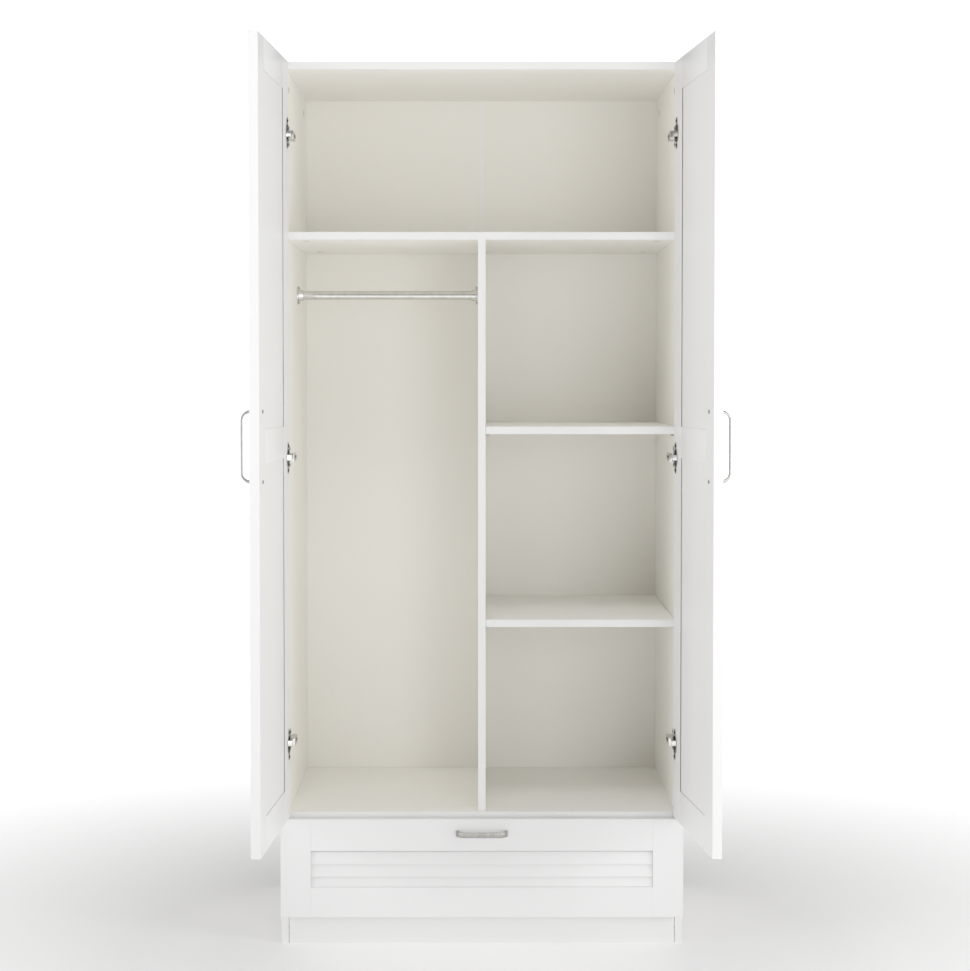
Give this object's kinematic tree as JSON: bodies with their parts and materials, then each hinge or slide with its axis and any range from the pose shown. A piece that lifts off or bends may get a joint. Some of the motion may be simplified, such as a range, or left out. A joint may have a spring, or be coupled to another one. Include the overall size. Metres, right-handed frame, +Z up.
{
  "type": "wardrobe with doors",
  "caption": "Free-standing white wardrobe: louvred hinged doors, hanging space with a rail, shelves, a top compartment and a wide drawer below.",
  "frame": {"origin": "on the floor, at the middle of the front edge of the front plinth's underside", "axes": "+X to the right seen from the front, +Y from the front edges into the cabinet, +Z up"},
  "size_m": [0.8926, 0.9174, 1.75],
  "materials": {
    "white_board": "white melamine-faced particle board, satin",
    "thin_board": "white lacquered thin fibreboard, satin",
    "white_paint": "white sprayed paint on fibreboard, satin",
    "white_plastic": "matt white extruded plastic",
    "satin_nickel": "nickel-plated steel, satin to bright",
    "chrome": "bright chrome-plated steel tube",
    "zinc_steel": "zinc-plated steel"
  },
  "bodies": {
    "cabinet": {"left_side_panel": "white_board", "right_side_panel": "white_board", "top_panel": "white_board", "upper_shelf": "white_board", "centre_divider": "white_board", "bottom_panel": "white_board", "right_high_shelf": "white_board", "right_low_shelf": "white_board", "left_back_board": "thin_board", "right_back_board": "thin_board", "back_joining_strip": "white_plastic", "front_plinth": "white_board", "rear_plinth": "white_board", "hanging_rail": "chrome", "rail_sockets": "chrome", "shelf_pins": "satin_nickel", "cam_locks": "zinc_steel", "cam_bolts": "zinc_steel", "hinge_plates": "satin_nickel", "hinge_arms": "satin_nickel", "cabinet_screws": "satin_nickel", "cabinet_runner_members": "zinc_steel"},
    "left_door": {"left_door_hinge_stile": "white_paint", "left_door_free_stile": "white_paint", "left_door_top_rail": "white_paint", "left_door_middle_rail": "white_paint", "left_door_bottom_rail": "white_paint", "left_door_upper_panel": "white_paint", "left_door_lower_panel": "white_paint", "left_door_slats": "white_paint", "left_door_handle": "satin_nickel", "left_door_screws": "satin_nickel", "left_hinge_cups": "satin_nickel", "left_hinge_pins": "zinc_steel"},
    "right_door": {"right_door_hinge_stile": "white_paint", "right_door_free_stile": "white_paint", "right_door_top_rail": "white_paint", "right_door_middle_rail": "white_paint", "right_door_bottom_rail": "white_paint", "right_door_upper_panel": "white_paint", "right_door_lower_panel": "white_paint", "right_door_slats": "white_paint", "right_door_handle": "satin_nickel", "right_door_screws": "satin_nickel", "right_hinge_cups": "satin_nickel", "right_hinge_pins": "zinc_steel"},
    "drawer": {"drawer_left_stile": "white_paint", "drawer_right_stile": "white_paint", "drawer_top_rail": "white_paint", "drawer_bottom_rail": "white_paint", "drawer_front_panel": "white_paint", "drawer_slats": "white_paint", "drawer_handle": "satin_nickel", "drawer_screws": "satin_nickel", "drawer_left_side": "white_board", "drawer_right_side": "white_board", "drawer_back": "white_board", "drawer_bottom": "thin_board", "drawer_runner_members": "zinc_steel"},
    "runner_middle": {"middle_runner_members": "zinc_steel"}
  },
  "joints": [
    {"name": "left_door_hinge", "type": "hinge", "parent": "cabinet", "child": "left_door", "pos_m": [-0.3909, -0.013, 1], "axis": [0, 0, 1], "range_deg": [-7, 93]},
    {"name": "right_door_hinge", "type": "hinge", "parent": "cabinet", "child": "right_door", "pos_m": [0.3909, -0.013, 1], "axis": [0, 0, -1], "range_deg": [-4.7, 95.3]},
    {"name": "drawer_slide", "type": "slide", "parent": "cabinet", "child": "drawer", "axis": [0, -1, 0], "range_m": [0, 0.39]},
    {"name": "runner_slide", "type": "slide", "parent": "cabinet", "child": "runner_middle", "axis": [0, -1, 0], "range_m": [0, 0.195]}
  ],
  "couplings": [
    {"joint": "runner_slide", "follows": "drawer_slide", "ratio": 0.5}
  ]
}
